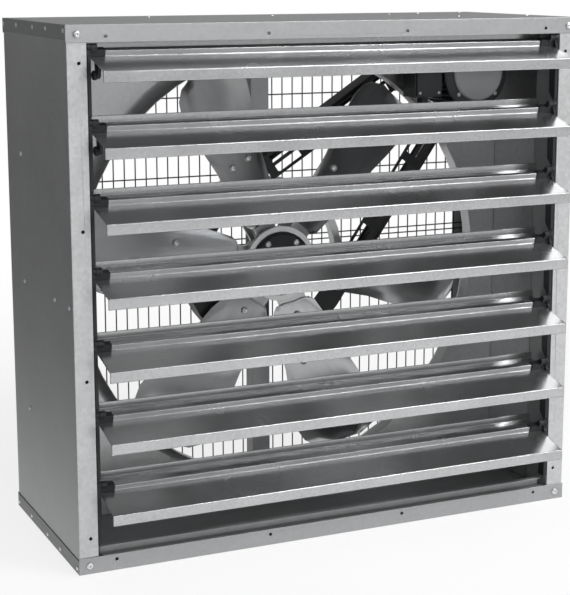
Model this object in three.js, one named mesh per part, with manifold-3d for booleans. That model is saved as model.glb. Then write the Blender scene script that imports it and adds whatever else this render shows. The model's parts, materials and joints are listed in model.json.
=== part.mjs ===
// A wall axial fan: a square galvanised box with a six-blade propeller in a spun inlet ring,
// a belt drive from a motor in the upper corner, an inlet mesh and seven linked louvres.
// Lengths are millimetres and angles degrees. +X is the right side seen from the louvres,
// +Y runs from the louvres to the inlet mesh and +Z is up. The origin is the middle of the
// casing's underside.
import * as THREE from "three";
import { mergeVertices } from "three/addons/utils/BufferGeometryUtils.js";
import Module from "manifold-3d";

// Casing of folded sheet
const CASE_WIDTH = 1100;
const CASE_HEIGHT = 1045;
const CASE_DEPTH = 450;
const SHEET = 1.5;
const FIT = 0.3; // left between two pieces that touch
const WELD = 1e-4; // vertices closer than this are one
const GRID = 1 / 1024; // corners snap to this step, so that flush faces are exactly flush
const OVERLAP = 0.5; // how far joined solids run into each other
const OVERRUN = 2; // how far a cutter runs past what it cuts
const SIDE_FLANGE = 40;
const EDGE_FLANGE = 33;
const REAR_FLANGE = 30;
const SIDE_LAP = 28;
const FLANGE_HEM = 12;
const FLANGE_HOLE = 7;
const EDGE_HOLE_INSET = 76; // from the casing's side to the outer holes of a front rail
const EDGE_HOLE_HALF_STEP = 150; // from the middle to the inner holes of a front rail
const SIDE_HOLE_INSET = 70;
const SIDE_HOLE_HALF_STEP = 143;

// Inlet ring panel
const RING_TO_RAIL = 63.5; // least web left between the throat and the casing's nearer side
const AXIS_DROP = 4.5; // the fan axis lies this far below the casing's middle
const RING_LENGTH = 48;
const RING_FLARE = 20;
const PANEL_FLANGE = 45;
const RING_SIDES = 56;
const FLARE_STEPS = 3;

// Rear post and inlet mesh
const POST_WIDTH = 42;
const POST_DEPTH = 35;
const POST_SHEET = 2.5;
const POST_TO_BACK = 20;
const POST_FOOT = 24; // how far a foot reaches to each side of the post
const FOOT_SHEET = 4;
const MESH_BAR = 5;
const MESH_DEPTH = 6;
const MESH_BAR_GAP = 115;
const MESH_ROW_GAP = 261;

// Spindle, bearings and propeller hub
const SPINDLE_RADIUS = 12.5;
const SPINDLE_COLLAR = 20;
const SPINDLE_FLANGE = 44;
const SPINDLE_FLANGE_SHEET = 10;
const SPINDLE_TAIL = 10;
const SPINDLE_NUT = 16;
const SPINDLE_NUT_DEPTH = 10;
const BEARING_RADIUS = 26;
const BEARING_WIDTH = 15;
const BEARING_INSET = 4;
const HUB_LENGTH = 64;
const HUB_RADIUS = 60;
const HUB_FACE_RADIUS = 82;
const HUB_FACE_SHEET = 8;
const HUB_FACE_CONE = 8;
const CAP_RADIUS = 70;
const CAP_CROWN_RADIUS = 66;
const CAP_SHEET = 3;
const CAP_CROWN = 3;
const ARM_INSET = 21; // from the hub's front face to the arms' middle plane
const ARM_REACH = 252;
const ARM_START = 50;
const ARM_WIDTH = 62;
const ARM_SHEET = 7;
const ARM_CORNER = 12;

// Propeller blades
const BLADE_COUNT = 6;
const FIRST_BLADE_ANGLE = -8;
const BLADE_SHEET = 2;
const TIP_GAP = 7;
const BLADE_ROOT_RADIUS = 96;
const BLADE_ROOT_WIDTH = 84;
const BLADE_SEAT_WIDTH = 138;
const BLADE_TIP_WIDTH = 196;
const BLADE_ROOT_CORNER = 22;
const BLADE_TIP_CORNER = 62;
const BLADE_CAMBER = 9;
const ROOT_PITCH = 22;
const TIP_PITCH = 16;
const BLADE_SEAT_SHARES = [0, 0.04, 0.13, 0.5, 1];
const BLADE_WING_SHARES = [0.25, 0.5, 0.72, 0.86, 0.95, 1];
const CHORD_STEPS = 6;

// Belt drive
const DRIVEN_RADIUS = 180;
const MOTOR_PULLEY_RADIUS = 68;
const PULLEY_WIDTH = 28;
const PULLEY_TO_POST = 29; // from the post's face to the middle of the belt
const PULLEY_DISH = 5; // how far the web stands proud of the rim
const PULLEY_WEB = 8;
const PULLEY_EYE = 30;
const PULLEY_RIM = 16;
const PULLEY_SPOKES = 6;
const SPOKE_WIDTH = 30;
const PULLEY_SIDES = 40;
const BELT_TOP = 13;
const BELT_BASE = 8;
const BELT_HEIGHT = 8;
const BELT_PROUD = 1;
const GROOVE_CLEARANCE = 0.6;
const GROOVE_BELOW = 3;

// Belt guard
const GUARD_GAP = 14; // from the pulley's front to the guard's plate
const GUARD_SHEET = 3;
const GUARD_SKIRT = 46;
const GUARD_MARGIN = 20; // from a pulley's rim to the skirt
const GUARD_BORE = 144;
const GUARD_NOSE_BORE = 25;
const GUARD_LUG = 24;
const GUARD_FOOT = 16;
const SLOT_COUNT = 5;
const SLOT_START_SHARE = 0.06;
const SLOT_END_SHARE = 0.8;
const SLOT_GAP_SHARE = 0.24; // part of each step that stays solid
const SLOT_ROW_SHARES = [0.12, 0.42, 0.56, 0.86];

// Motor
const MOTOR_FROM_SIDE = 128;
const MOTOR_FROM_TOP = 123;
const MOTOR_FIN_RADIUS = 78;
const MOTOR_CORE_RADIUS = 66;
const MOTOR_BODY = 130;
const MOTOR_FINS = 28;
const FIN_TIP_SHARE = 0.3; // part of each fin step that the fin's tip takes
const FIN_ROOT_SHARE = 0.46;
const FRONT_SHIELD = 12;
const FRONT_COVER_RADIUS = 60;
const FRONT_COVER = 8;
const REAR_SHIELD = 12;
const REAR_BOSS_RADIUS = 30;
const MOTOR_SHAFT_RADIUS = 12;
const MOTOR_TO_GUARD = 2;
const MOTOR_HOLE_GAP = 5;
const TERMINAL_WIDTH = 66;
const TERMINAL_HEIGHT = 72;
const TERMINAL_DEPTH = 52;
const TERMINAL_INSET = 2; // behind the motor body's front end
const TERMINAL_DROP = 14;
const TERMINAL_LID = 6;
const TERMINAL_PAD = 30;
const GLAND_RADIUS = 13;
const GLAND_LENGTH = 26;
const GLAND_BORE = 6;
const BRACKET_SHEET = 3;
const BRACKET_DROP = 88; // from the motor's axis to the shelf
const BRACKET_TRAY_LEFT = 62;
const BRACKET_RIGHT = 88;
const BRACKET_LEFT = 10; // left edge of the part that passes the inlet ring
const BRACKET_APRON = 46;
const BRACKET_TRAY = 56;
const MOTOR_FOOT_SPREAD = 38;
const MOTOR_FOOT = 14;
const MOTOR_FOOT_LENGTH = 84;
const MOTOR_FOOT_INSET = 10; // behind the motor body's front end

// Louvres
const LOUVRE_COUNT = 7;
const FIRST_PIVOT_HEIGHT = 162;
const TOP_PIVOT_DROP = 52; // from the casing's top to the highest pivot
const PIVOT_SETBACK = 20;
const LOUVRE_SHEET = 1.2;
const LOUVRE_SLOPE = 15;
const LOUVRE_REAR = 43; // from the pivot to the rear fold
const LOUVRE_LAP = 5; // how much of the pitch two closed plates leave to the lips
const LOUVRE_LIP = 20;
const LOUVRE_UPSTAND = 14;
const LOUVRE_END_GAP = 9; // inside the edge of the side flange
const RIB = 11;
const RIB_NOTCH = 30;
const PEG_LENGTH = 16;
const END_BLOCK = 16;
const JOURNAL_RADIUS = 4.5;
const STRIP_SHEET = 2;
const STRIP_GAP = 10; // between a louvre's end and its bearing strip
const STRIP_FRONT = 8;
const STRIP_REAR = 85;
const STRIP_FOOT_END = 140;
const CRANK_RADIUS = 16;
const CRANK_ANGLE = 45; // in front of upright, louvres open
const CRANK_THICKNESS = 12;
const CRANK_ROOT = 5;
const CRANK_TIP = 6.5;
const CRANK_PIN_RADIUS = 3.5;
const CRANK_SIDE_GAP = 0.8;
const LINK_THICKNESS = 6.5;
const LINK_REAR = 16; // from the line of the pins to the bar's rear edge
const LINK_FRONT = 5.5;
const LINK_NECK = 2.2; // half the bar's width where it passes a journal
const LINK_OVER = 9; // from a pin up to the end of the neck
const LINK_UNDER = 14;
const LINK_EYE = 6.5;
const LINK_TAIL = 21; // from the casing's lower rail to the bar's foot
const SILL_HEIGHT = 46;
const SILL_SETBACK = 26;
const SILL_FOOT = 40;
const SILL_LIP = 12;
const SMALL_SIDES = 10;
const HOLE_SIDES = 6;
const TURNED_SIDES = 28;
const INNER_SIDES = 20; // for turned pieces that are mostly covered

// Places that follow from the sizes above
const frontY = -CASE_DEPTH / 2;
const backY = CASE_DEPTH / 2;
const sideOuter = CASE_WIDTH / 2 - SHEET - FIT;
const sideInner = sideOuter - SHEET;
const floorZ = SHEET + FIT;
const ceilingZ = CASE_HEIGHT - SHEET - FIT;
const axisZ = CASE_HEIGHT / 2 - AXIS_DROP;
const throat = Math.min(CASE_WIDTH, CASE_HEIGHT) / 2 - RING_TO_RAIL;
const tipRadius = throat - TIP_GAP;
const postRearY = backY - POST_TO_BACK;
const postFrontY = postRearY - POST_DEPTH;
const beltY = postFrontY - PULLEY_TO_POST;
const pulleyFrontY = beltY - PULLEY_WIDTH / 2;
const hubRearY = pulleyFrontY - PULLEY_DISH;
const hubFrontY = hubRearY - HUB_LENGTH;
const armY = hubFrontY + ARM_INSET;
const panelY = armY + FIT + SHEET;
const ringFrontY = panelY - RING_LENGTH;
const guardY = pulleyFrontY - GUARD_GAP;
const motorX = CASE_WIDTH / 2 - MOTOR_FROM_SIDE;
const motorZ = CASE_HEIGHT - MOTOR_FROM_TOP;
const motorRearY = guardY - MOTOR_TO_GUARD;
const motorBodyRearY = motorRearY - REAR_SHIELD;
const motorBodyFrontY = motorBodyRearY - MOTOR_BODY;
const shieldFrontY = motorBodyFrontY - FRONT_SHIELD;
const pivotY = frontY + PIVOT_SETBACK;
const louvrePitch = (CASE_HEIGHT - TOP_PIVOT_DROP - FIRST_PIVOT_HEIGHT) / (LOUVRE_COUNT - 1);
const louvreFront = louvrePitch - LOUVRE_REAR - LOUVRE_LAP;
const louvreHalf = CASE_WIDTH / 2 - SIDE_FLANGE - LOUVRE_END_GAP;
const stripInner = louvreHalf + STRIP_GAP;
const stripOuter = stripInner + STRIP_SHEET;
const linkInner = louvreHalf + CRANK_SIDE_GAP;
const linkOuter = linkInner + LINK_THICKNESS;
const radians = THREE.MathUtils.degToRad;

const wasm = await Module();
wasm.setup();

// Materials
function metal(color, roughness) {
  return new THREE.MeshStandardMaterial({ color, roughness, metalness: 1 });
}
function plastic(color, roughness) {
  return new THREE.MeshStandardMaterial({ color, roughness, metalness: 0 });
}
const casingSteel = metal(0xa9abad, 0.42);
const sideSteel = metal(0x8d8f91, 0.45);
const louvreSteel = metal(0xb9bbbd, 0.38);
const bladeSteel = metal(0x9c9ea1, 0.3);
const wireSteel = metal(0x77797c, 0.4);
const turnedSteel = metal(0x8a8c90, 0.3);
const castAluminium = metal(0xb4b6b8, 0.45);
const motorPaint = plastic(0x2c2d2f, 0.55);
const motorGrey = plastic(0x7e8082, 0.5);
const blackPlastic = plastic(0x1c1d1f, 0.6);
const beltRubber = plastic(0x161616, 0.8);

// Solids from three.js geometry, and back
function solidOf(geometry) {
  const bare = geometry.index ? geometry.toNonIndexed() : geometry.clone();
  bare.deleteAttribute("normal");
  bare.deleteAttribute("uv");
  const places = bare.attributes.position.array;
  places.forEach((value, i) => (places[i] = Math.round(value / GRID) * GRID));
  const merged = mergeVertices(bare, WELD);
  const kept = [];
  const index = merged.index.array;
  for (let i = 0; i < index.length; i += 3) {
    const [a, b, c] = [index[i], index[i + 1], index[i + 2]];
    if (a !== b && b !== c && c !== a) kept.push(a, b, c);
  }
  const build = (triangles) =>
    new wasm.Manifold(
      new wasm.Mesh({
        numProp: 3,
        vertProperties: merged.attributes.position.array,
        triVerts: new Uint32Array(triangles),
      }),
    );
  const solid = build(kept);
  return solid.volume() < 0 ? build(kept.reverse()) : solid;
}

function geometryOf(solid) {
  const mesh = solid.getMesh();
  const geometry = new THREE.BufferGeometry();
  const points = new Float32Array(mesh.numVert * 3);
  for (let i = 0; i < mesh.numVert; i++) {
    points.set(mesh.vertProperties.subarray(i * mesh.numProp, i * mesh.numProp + 3), i * 3);
  }
  geometry.setAttribute("position", new THREE.BufferAttribute(points, 3));
  geometry.setIndex(new THREE.BufferAttribute(new Uint32Array(mesh.triVerts), 1));
  const flat = geometry.toNonIndexed();
  flat.computeVertexNormals();
  return flat;
}

const join = (...solids) => solids.flat().reduce((whole, piece) => whole.add(piece));
const cut = (body, ...tools) => tools.flat().reduce((left, tool) => left.subtract(tool), body);

// A box between two corners, given in either order
function block([x0, x1], [y0, y1], [z0, z1]) {
  const box = new THREE.BoxGeometry(Math.abs(x1 - x0), Math.abs(y1 - y0), Math.abs(z1 - z0));
  box.translate((x0 + x1) / 2, (y0 + y1) / 2, (z0 + z1) / 2);
  return solidOf(box);
}

// An outline drawn in (Y, Z) and run along X
function alongX(shape, [x0, x1]) {
  const run = new THREE.ExtrudeGeometry(shape, { depth: x1 - x0, bevelEnabled: false });
  const turn = new THREE.Matrix4().makeBasis(
    new THREE.Vector3(0, 1, 0),
    new THREE.Vector3(0, 0, 1),
    new THREE.Vector3(1, 0, 0),
  );
  return solidOf(run.applyMatrix4(turn).translate(x0, 0, 0));
}

// An outline drawn in (X, Z) and run along Y
function alongY(shape, [y0, y1]) {
  const run = new THREE.ExtrudeGeometry(shape, { depth: y1 - y0, bevelEnabled: false });
  return solidOf(run.rotateX(Math.PI / 2).translate(0, y1, 0));
}

// An outline drawn in (X, Y) and run along Z
function alongZ(shape, [z0, z1]) {
  const run = new THREE.ExtrudeGeometry(shape, { depth: z1 - z0, bevelEnabled: false });
  return solidOf(run.translate(0, 0, z0));
}

const shapeOf = (points) => new THREE.Shape(points.map(([a, b]) => new THREE.Vector2(a, b)));

// A round outline about a centre, with as many corners as it is given sides
function disc(radius, sides, [a, b] = [0, 0]) {
  const corners = Array.from({ length: sides }, (_, i) => (2 * Math.PI * i) / sides);
  return shapeOf(corners.map((t) => [a + radius * Math.cos(t), b + radius * Math.sin(t)]));
}

// A rod along X or Y about a centre line
const rodX = (radius, span, [y, z], sides = SMALL_SIDES) => alongX(disc(radius, sides, [y, z]), span);
const rodY = (radius, [x, z], span, sides = SMALL_SIDES) => alongY(disc(radius, sides, [x, z]), span);

// A profile of (radius, y) turned about the Y axis; it starts and ends on the axis or closes on itself
function turned(profile, sides = TURNED_SIDES) {
  const points = profile.map(([r, y]) => new THREE.Vector2(r, y));
  const onAxis = points[0].x === 0;
  if (!onAxis) points.push(points[0].clone());
  return solidOf(new THREE.LatheGeometry(points, sides));
}

// The outline of a folded sheet: a centre line with a thickness and mitred corners
function folded(line, thickness) {
  const points = line.map(([a, b]) => new THREE.Vector2(a, b));
  const normals = points.slice(1).map((p, i) => {
    const along = p.clone().sub(points[i]).normalize();
    return new THREE.Vector2(-along.y, along.x);
  });
  const face = (side) =>
    points.map((p, i) => {
      const before = normals[Math.max(i - 1, 0)];
      const after = normals[Math.min(i, normals.length - 1)];
      const mitre = before.clone().add(after);
      const reach = (side * thickness) / mitre.lengthSq();
      return [p.x + mitre.x * reach, p.y + mitre.y * reach];
    });
  return shapeOf([...face(1), ...face(-1).reverse()]);
}

// Rings of points joined into one skin. An open run is closed at its ends by strips across
// each end ring, whose second half runs back along its first; a loop joins its last ring to
// its first.
function skin(rings, isLoop) {
  const size = rings[0].length;
  const positions = rings.flat().flatMap((p) => [p.x, p.y, p.z]);
  const index = [];
  const runs = isLoop ? rings.length : rings.length - 1;
  for (let r = 0; r < runs; r++) {
    const near = r * size;
    const far = ((r + 1) % rings.length) * size;
    for (let i = 0; i < size; i++) {
      const j = (i + 1) % size;
      index.push(near + i, near + j, far + j, near + i, far + j, far + i);
    }
  }
  if (!isLoop) {
    const last = (rings.length - 1) * size;
    for (let i = 0; i < size / 2 - 1; i++) {
      const [a, b, c, d] = [i, i + 1, size - 2 - i, size - 1 - i];
      index.push(a, c, b, a, d, c);
      index.push(last + a, last + b, last + c, last + a, last + c, last + d);
    }
  }
  const geometry = new THREE.BufferGeometry();
  geometry.setAttribute("position", new THREE.Float32BufferAttribute(positions, 3));
  geometry.setIndex(index);
  return solidOf(geometry);
}

// Scene graph
const fan = new THREE.Group();
function addMesh(parent, name, solid, material) {
  const mesh = new THREE.Mesh(geometryOf(solid), material);
  mesh.name = name;
  parent.add(mesh);
  return mesh;
}
function groupAt(x, y, z) {
  const group = new THREE.Group();
  group.position.set(x, y, z);
  fan.add(group);
  return group;
}

// Casing: top and bottom pans lap over the two side pans
function edgePan(outerZ, inward) {
  const upTo = (height) => [outerZ, outerZ + inward * height];
  const half = CASE_WIDTH / 2;
  const hemZ = outerZ + inward * EDGE_FLANGE;
  const holeZ = outerZ + (inward * EDGE_FLANGE * 2) / 3;
  const holeXs = [half - EDGE_HOLE_INSET, EDGE_HOLE_HALF_STEP].flatMap((x) => [-x, x]);
  const pan = join(
    block([-half, half], [frontY, backY], upTo(SHEET)),
    block([-half, half], [frontY, frontY + SHEET], upTo(EDGE_FLANGE)),
    block([-half, half], [backY - SHEET, backY], upTo(REAR_FLANGE)),
    block([-half, SHEET - half], [frontY, backY], upTo(SIDE_LAP)),
    block([half - SHEET, half], [frontY, backY], upTo(SIDE_LAP)),
    block([-louvreHalf, louvreHalf], [frontY, frontY + FLANGE_HEM], [hemZ, hemZ - inward * SHEET]),
  );
  const holes = holeXs.map((x) =>
    rodY(FLANGE_HOLE / 2, [x, holeZ], [frontY - OVERRUN, frontY + SHEET + OVERRUN], HOLE_SIDES),
  );
  return cut(pan, holes);
}

function sidePan(side) {
  const web = side * (sideOuter - SHEET / 2);
  const frontEdge = side * (CASE_WIDTH / 2 - SIDE_FLANGE);
  const rearEdge = side * (CASE_WIDTH / 2 - REAR_FLANGE);
  const flangeY = frontY + SHEET + FIT;
  const rearY = backY - SHEET - FIT;
  const middle = CASE_HEIGHT / 2;
  const holeZs = [middle - SIDE_HOLE_INSET, SIDE_HOLE_HALF_STEP];
  const holeX = side * (CASE_WIDTH / 2 - (SIDE_FLANGE * 5) / 8);
  const pan = alongZ(
    folded(
      [
        [frontEdge, flangeY + SHEET / 2],
        [web, flangeY + SHEET / 2],
        [web, rearY - SHEET / 2],
        [rearEdge, rearY - SHEET / 2],
      ],
      SHEET,
    ),
    [floorZ, ceilingZ],
  );
  const holes = holeZs.flatMap((z) =>
    [middle - z, middle + z].map((height) =>
      rodY(FLANGE_HOLE / 2, [holeX, height], [flangeY - OVERRUN, flangeY + SHEET + OVERRUN], HOLE_SIDES),
    ),
  );
  return cut(pan, holes);
}

addMesh(fan, "top_panel", edgePan(CASE_HEIGHT, -1), casingSteel);
addMesh(fan, "bottom_panel", edgePan(0, 1), casingSteel);
addMesh(fan, "left_side_panel", sidePan(-1), sideSteel);
addMesh(fan, "right_side_panel", sidePan(1), sideSteel);

// Inlet ring panel: a flanged sheet whose round mouth is spun forward into a short duct
function inletPanel() {
  const half = sideInner - FIT;
  const rearY = panelY + SHEET;
  const flangeY = panelY + PANEL_FLANGE;
  const mouth = throat + RING_FLARE;
  const inside = half - SHEET;
  const tray = cut(
    block([-half, half], [panelY, flangeY], [floorZ, ceilingZ]),
    block([-inside, inside], [rearY, flangeY + OVERRUN], [floorZ + SHEET, ceilingZ - SHEET]),
  );
  const through = [panelY - OVERRUN, rearY + OVERRUN];
  const motorHole = MOTOR_FIN_RADIUS + MOTOR_HOLE_GAP;
  const open = cut(
    tray,
    rodY(mouth + OVERRUN / 2, [0, axisZ], through, RING_SIDES),
    rodY(motorHole, [motorX, motorZ], through, TURNED_SIDES),
  );
  const bend = (radius) =>
    Array.from({ length: FLARE_STEPS + 1 }, (_, i) => {
      const t = (Math.PI / 2) * (i / FLARE_STEPS);
      return [mouth - radius * Math.cos(t), rearY - RING_FLARE + radius * Math.sin(t)];
    });
  const ring = turned(
    [
      [throat + SHEET, ringFrontY],
      [throat, ringFrontY],
      ...bend(RING_FLARE),
      [mouth + OVERRUN, rearY],
      [mouth + OVERRUN, panelY],
      ...bend(RING_FLARE - SHEET).reverse(),
    ],
    RING_SIDES,
  );
  return join(open, ring.translate([0, 0, axisZ]));
}
addMesh(fan, "inlet_ring_panel", inletPanel(), casingSteel);

// Rear post: a channel with a foot at each end, drilled for the spindle
function rearPost() {
  const half = (POST_WIDTH - POST_SHEET) / 2;
  const faceY = postFrontY + POST_SHEET / 2;
  const channel = alongZ(
    folded(
      [
        [-half, postRearY],
        [-half, faceY],
        [half, faceY],
        [half, postRearY],
      ],
      POST_SHEET,
    ),
    [floorZ, ceilingZ],
  );
  const reach = POST_WIDTH / 2 + POST_FOOT;
  const foot = (z0, z1) => block([-reach, reach], [postFrontY, postRearY], [z0, z1]);
  const drill = rodY(
    SPINDLE_TAIL + FIT,
    [0, axisZ],
    [postFrontY - OVERRUN, postFrontY + POST_SHEET + OVERRUN],
    TURNED_SIDES,
  );
  return cut(
    join(channel, foot(floorZ, floorZ + FOOT_SHEET), foot(ceilingZ - FOOT_SHEET, ceilingZ)),
    drill,
  );
}
addMesh(fan, "rear_post", rearPost(), casingSteel);

// Inlet mesh, drawn coarse: a few bars as deep as two crossed wires stand for its many thin wires
function inletMesh() {
  const meshBackY = backY - SHEET - FIT - SHEET - FIT;
  const depth = [meshBackY - MESH_DEPTH, meshBackY];
  const right = sideInner - FIT;
  const spread = (low, high, gap) => {
    const steps = Math.round((high - low) / gap);
    return Array.from({ length: steps + 1 }, (_, i) => low + ((high - low) * i) / steps);
  };
  const half = MESH_BAR / 2;
  const xs = spread(half - right, right - half, MESH_BAR_GAP);
  const zs = spread(floorZ + half, ceilingZ - half, MESH_ROW_GAP);
  const uprights = xs.map((x) => block([x - half, x + half], depth, [floorZ, ceilingZ]));
  const rows = zs.map((z) => block([-right, right], depth, [z - half, z + half]));
  return join(uprights, rows);
}
addMesh(fan, "inlet_mesh", inletMesh(), wireSteel);

// Spindle: fixed to the post by its flange and nut; the hub's bearings run on it
const atAxis = groupAt(0, 0, axisZ);
function spindle() {
  const flangeRearY = postFrontY - FIT;
  const flangeFrontY = flangeRearY - SPINDLE_FLANGE_SHEET;
  const nutFrontY = postFrontY + POST_SHEET + FIT;
  return turned([
    [0, hubFrontY + FIT],
    [SPINDLE_RADIUS, hubFrontY + FIT],
    [SPINDLE_RADIUS, hubRearY],
    [SPINDLE_COLLAR, hubRearY],
    [SPINDLE_COLLAR, flangeFrontY],
    [SPINDLE_FLANGE, flangeFrontY],
    [SPINDLE_FLANGE, flangeRearY],
    [SPINDLE_TAIL, flangeRearY],
    [SPINDLE_TAIL, nutFrontY],
    [SPINDLE_NUT, nutFrontY],
    [SPINDLE_NUT, nutFrontY + SPINDLE_NUT_DEPTH],
    [0, nutFrontY + SPINDLE_NUT_DEPTH],
  ], INNER_SIDES);
}
addMesh(atAxis, "spindle", spindle(), turnedSteel);

function bearing(y) {
  const bore = SPINDLE_RADIUS + FIT;
  return turned([
    [bore, y],
    [BEARING_RADIUS, y],
    [BEARING_RADIUS, y + BEARING_WIDTH],
    [bore, y + BEARING_WIDTH],
  ], INNER_SIDES);
}
const rearBearingY = hubRearY - BEARING_INSET - BEARING_WIDTH;
addMesh(atAxis, "front_bearing", bearing(hubFrontY + BEARING_INSET), turnedSteel);
addMesh(atAxis, "rear_bearing", bearing(rearBearingY), turnedSteel);

// A frame on a blade's seat: X out along the blade, Y across the pitched chord, Z out of its front
function seatFrame(angle) {
  const pitch = radians(ROOT_PITCH);
  const frame = new THREE.Matrix4().makeBasis(
    new THREE.Vector3(1, 0, 0),
    new THREE.Vector3(0, -Math.sin(pitch), Math.cos(pitch)),
    new THREE.Vector3(0, -Math.cos(pitch), -Math.sin(pitch)),
  );
  return new THREE.Matrix4().makeRotationY(-radians(angle)).multiply(frame);
}
const bladeAngles = Array.from(
  { length: BLADE_COUNT },
  (_, i) => FIRST_BLADE_ANGLE + (360 * i) / BLADE_COUNT,
);

// Hub: a turned drum with a front flange and six pitched arms that carry the blades
function propellerHub() {
  const bore = BEARING_RADIUS + FIT;
  const drum = turned([
    [bore, hubFrontY],
    [HUB_FACE_RADIUS, hubFrontY],
    [HUB_FACE_RADIUS, hubFrontY + HUB_FACE_SHEET],
    [HUB_RADIUS, hubFrontY + HUB_FACE_SHEET + HUB_FACE_CONE],
    [HUB_RADIUS, hubRearY],
    [bore, hubRearY],
  ]);
  const half = ARM_WIDTH / 2;
  const outline = shapeOf([
    [ARM_START, -half],
    [ARM_REACH - ARM_CORNER, -half],
    [ARM_REACH, ARM_CORNER - half],
    [ARM_REACH, half - ARM_CORNER],
    [ARM_REACH - ARM_CORNER, half],
    [ARM_START, half],
  ]);
  const arm = alongZ(outline, [-ARM_SHEET / 2, ARM_SHEET / 2]);
  const arms = bladeAngles.map((angle) =>
    arm.transform(seatFrame(angle).elements).translate([0, armY, 0]),
  );
  return join(drum, arms);
}
addMesh(atAxis, "propeller_hub", propellerHub(), castAluminium);

function hubCap() {
  const rearY = hubFrontY - FIT;
  const rimY = rearY - CAP_SHEET;
  return turned([
    [0, rearY],
    [CAP_RADIUS, rearY],
    [CAP_RADIUS, rimY],
    [CAP_CROWN_RADIUS, rimY],
    [CAP_CROWN_RADIUS, rimY - CAP_CROWN / 2],
    [CAP_CROWN_RADIUS - CAP_CROWN / 2, rimY - CAP_CROWN],
    [0, rimY - CAP_CROWN],
  ]);
}
addMesh(atAxis, "hub_cap", hubCap(), blackPlastic);

// Blade: flat where it is bolted to its arm, then cambered and less pitched towards the tip
function blade() {
  const seatEnd = ARM_REACH + FIT;
  const stretch = (shares, from, to) => shares.map((share) => from + share * (to - from));
  const radii = [
    ...stretch(BLADE_SEAT_SHARES, BLADE_ROOT_RADIUS, seatEnd),
    ...stretch(BLADE_WING_SHARES, seatEnd, tipRadius),
  ];
  const stand = ARM_SHEET / 2 + FIT + BLADE_SHEET / 2;
  const rootPitch = radians(ROOT_PITCH);
  const ring = (radius) => {
    const inSeat = Math.min((radius - BLADE_ROOT_RADIUS) / (seatEnd - BLADE_ROOT_RADIUS), 1);
    const outboard = Math.max((radius - seatEnd) / (tipRadius - seatEnd), 0);
    const width =
      BLADE_ROOT_WIDTH +
      (BLADE_SEAT_WIDTH - BLADE_ROOT_WIDTH) * Math.sin((inSeat * Math.PI) / 2) +
      (BLADE_TIP_WIDTH - BLADE_SEAT_WIDTH) * Math.sin((outboard * Math.PI) / 2);
    const rounding = (corner, distance) => {
      const inside = Math.max(corner - distance, 0);
      return corner - Math.sqrt(corner ** 2 - inside ** 2);
    };
    const half =
      width / 2 -
      rounding(BLADE_ROOT_CORNER, radius - BLADE_ROOT_RADIUS) -
      rounding(BLADE_TIP_CORNER, tipRadius - radius);
    const pitch = rootPitch + outboard * (radians(TIP_PITCH) - rootPitch);
    const camber = BLADE_CAMBER * Math.sin((outboard * Math.PI) / 2);
    const point = (step, side) => {
      const across = (2 * step) / CHORD_STEPS - 1;
      const chord = across * half;
      const lift = camber * (across ** 2 - 1) + (side * BLADE_SHEET) / 2;
      const tangent = chord * Math.cos(pitch) - lift * Math.sin(pitch) - stand * Math.sin(rootPitch);
      const axial = -chord * Math.sin(pitch) - lift * Math.cos(pitch) - stand * Math.cos(rootPitch);
      return new THREE.Vector3(Math.sqrt(radius ** 2 - tangent ** 2), axial, tangent);
    };
    const steps = Array.from({ length: CHORD_STEPS + 1 }, (_, i) => i);
    return [...steps.map((i) => point(i, 1)), ...steps.reverse().map((i) => point(i, -1))];
  };
  return skin(radii.map(ring), false);
}
const bladeSolid = blade();
const propeller = groupAt(0, armY, axisZ);
bladeAngles.forEach((angle, i) => {
  const seat = new THREE.Group();
  seat.rotation.y = -radians(angle);
  propeller.add(seat);
  addMesh(seat, `blade_${i + 1}`, bladeSolid, bladeSteel);
});

// Pulleys: the rim of each has one vee groove that the belt sits in with a little room
function rimProfile(radius, inner) {
  const half = PULLEY_WIDTH / 2;
  const slope = (BELT_TOP - BELT_BASE) / (2 * BELT_HEIGHT);
  const mouth = BELT_TOP / 2 + GROOVE_CLEARANCE - BELT_PROUD * slope;
  const depth = BELT_HEIGHT - BELT_PROUD + GROOVE_BELOW;
  const floor = mouth - depth * slope;
  return [
    [inner, beltY - half],
    [radius, beltY - half],
    [radius, beltY - mouth],
    [radius - depth, beltY - floor],
    [radius - depth, beltY + floor],
    [radius, beltY + mouth],
    [radius, beltY + half],
    [inner, beltY + half],
  ];
}

function drivenPulley() {
  const webFront = hubRearY + FIT;
  const web = [webFront, webFront + PULLEY_WEB];
  const inner = DRIVEN_RADIUS - PULLEY_RIM;
  const rim = turned(rimProfile(DRIVEN_RADIUS, inner), PULLEY_SIDES);
  const eye = turned([
    [PULLEY_EYE, web[0]],
    [HUB_RADIUS, web[0]],
    [HUB_RADIUS, web[1]],
    [PULLEY_EYE, web[1]],
  ]);
  const half = SPOKE_WIDTH / 2;
  const spoke = alongY(
    shapeOf([
      [HUB_RADIUS - half, -half],
      [inner + OVERRUN, -half],
      [inner + OVERRUN, half],
      [HUB_RADIUS - half, half],
    ]),
    web,
  );
  const spokes = Array.from({ length: PULLEY_SPOKES }, (_, i) =>
    spoke.transform(new THREE.Matrix4().makeRotationY((2 * Math.PI * i) / PULLEY_SPOKES).elements),
  );
  return join(rim, eye, spokes);
}
addMesh(atAxis, "driven_pulley", drivenPulley(), castAluminium);

const atMotor = groupAt(motorX, 0, motorZ);
const motorPulley = turned(rimProfile(MOTOR_PULLEY_RADIUS, MOTOR_SHAFT_RADIUS + FIT), INNER_SIDES);
addMesh(atMotor, "motor_pulley", motorPulley, castAluminium);

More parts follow.
